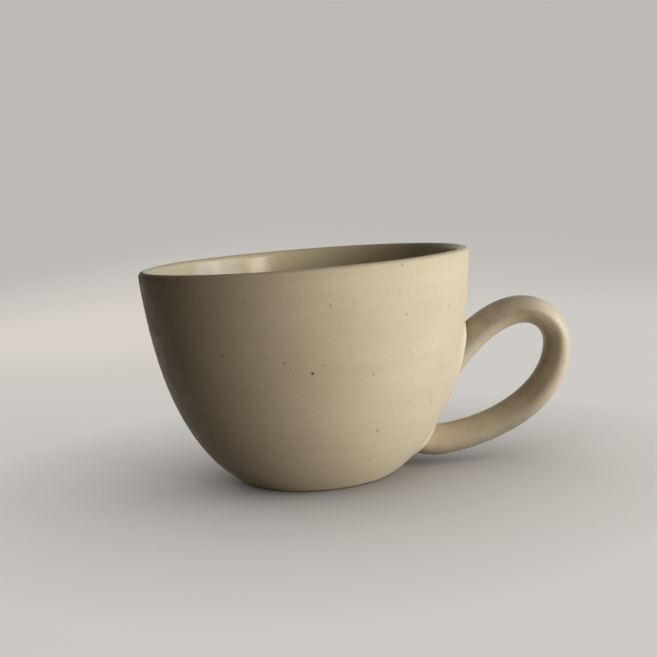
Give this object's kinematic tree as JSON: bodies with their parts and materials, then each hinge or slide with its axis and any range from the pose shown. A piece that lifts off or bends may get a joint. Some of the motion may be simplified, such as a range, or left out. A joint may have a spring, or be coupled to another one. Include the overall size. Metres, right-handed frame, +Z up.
{
  "type": "mug",
  "caption": "Hand-thrown stoneware mug with a wide bowl, a small flat base, a pulled strap handle, a satin cream coat outside and a glossy liner inside.",
  "frame": {"origin": "middle of the flat base, on the surface the mug stands on", "axes": "+Z up along the bowl's axis, +X out of the bowl through the handle, +Y across the handle"},
  "size_m": [0.1324, 0.102, 0.068],
  "materials": {
    "bare_clay": "fired stoneware, unglazed, matt, warm brown",
    "satin_glaze": "satin cream glaze with sparse iron specks and pinholes",
    "gloss_glaze": "glossy pale cream liner glaze"
  },
  "bodies": {
    "root": {"cup_body": "bare_clay", "handle": "bare_clay", "upper_slip_joint": "bare_clay", "lower_slip_joint": "bare_clay", "outer_glaze": "satin_glaze", "inner_glaze": "gloss_glaze"}
  },
  "joints": []
}
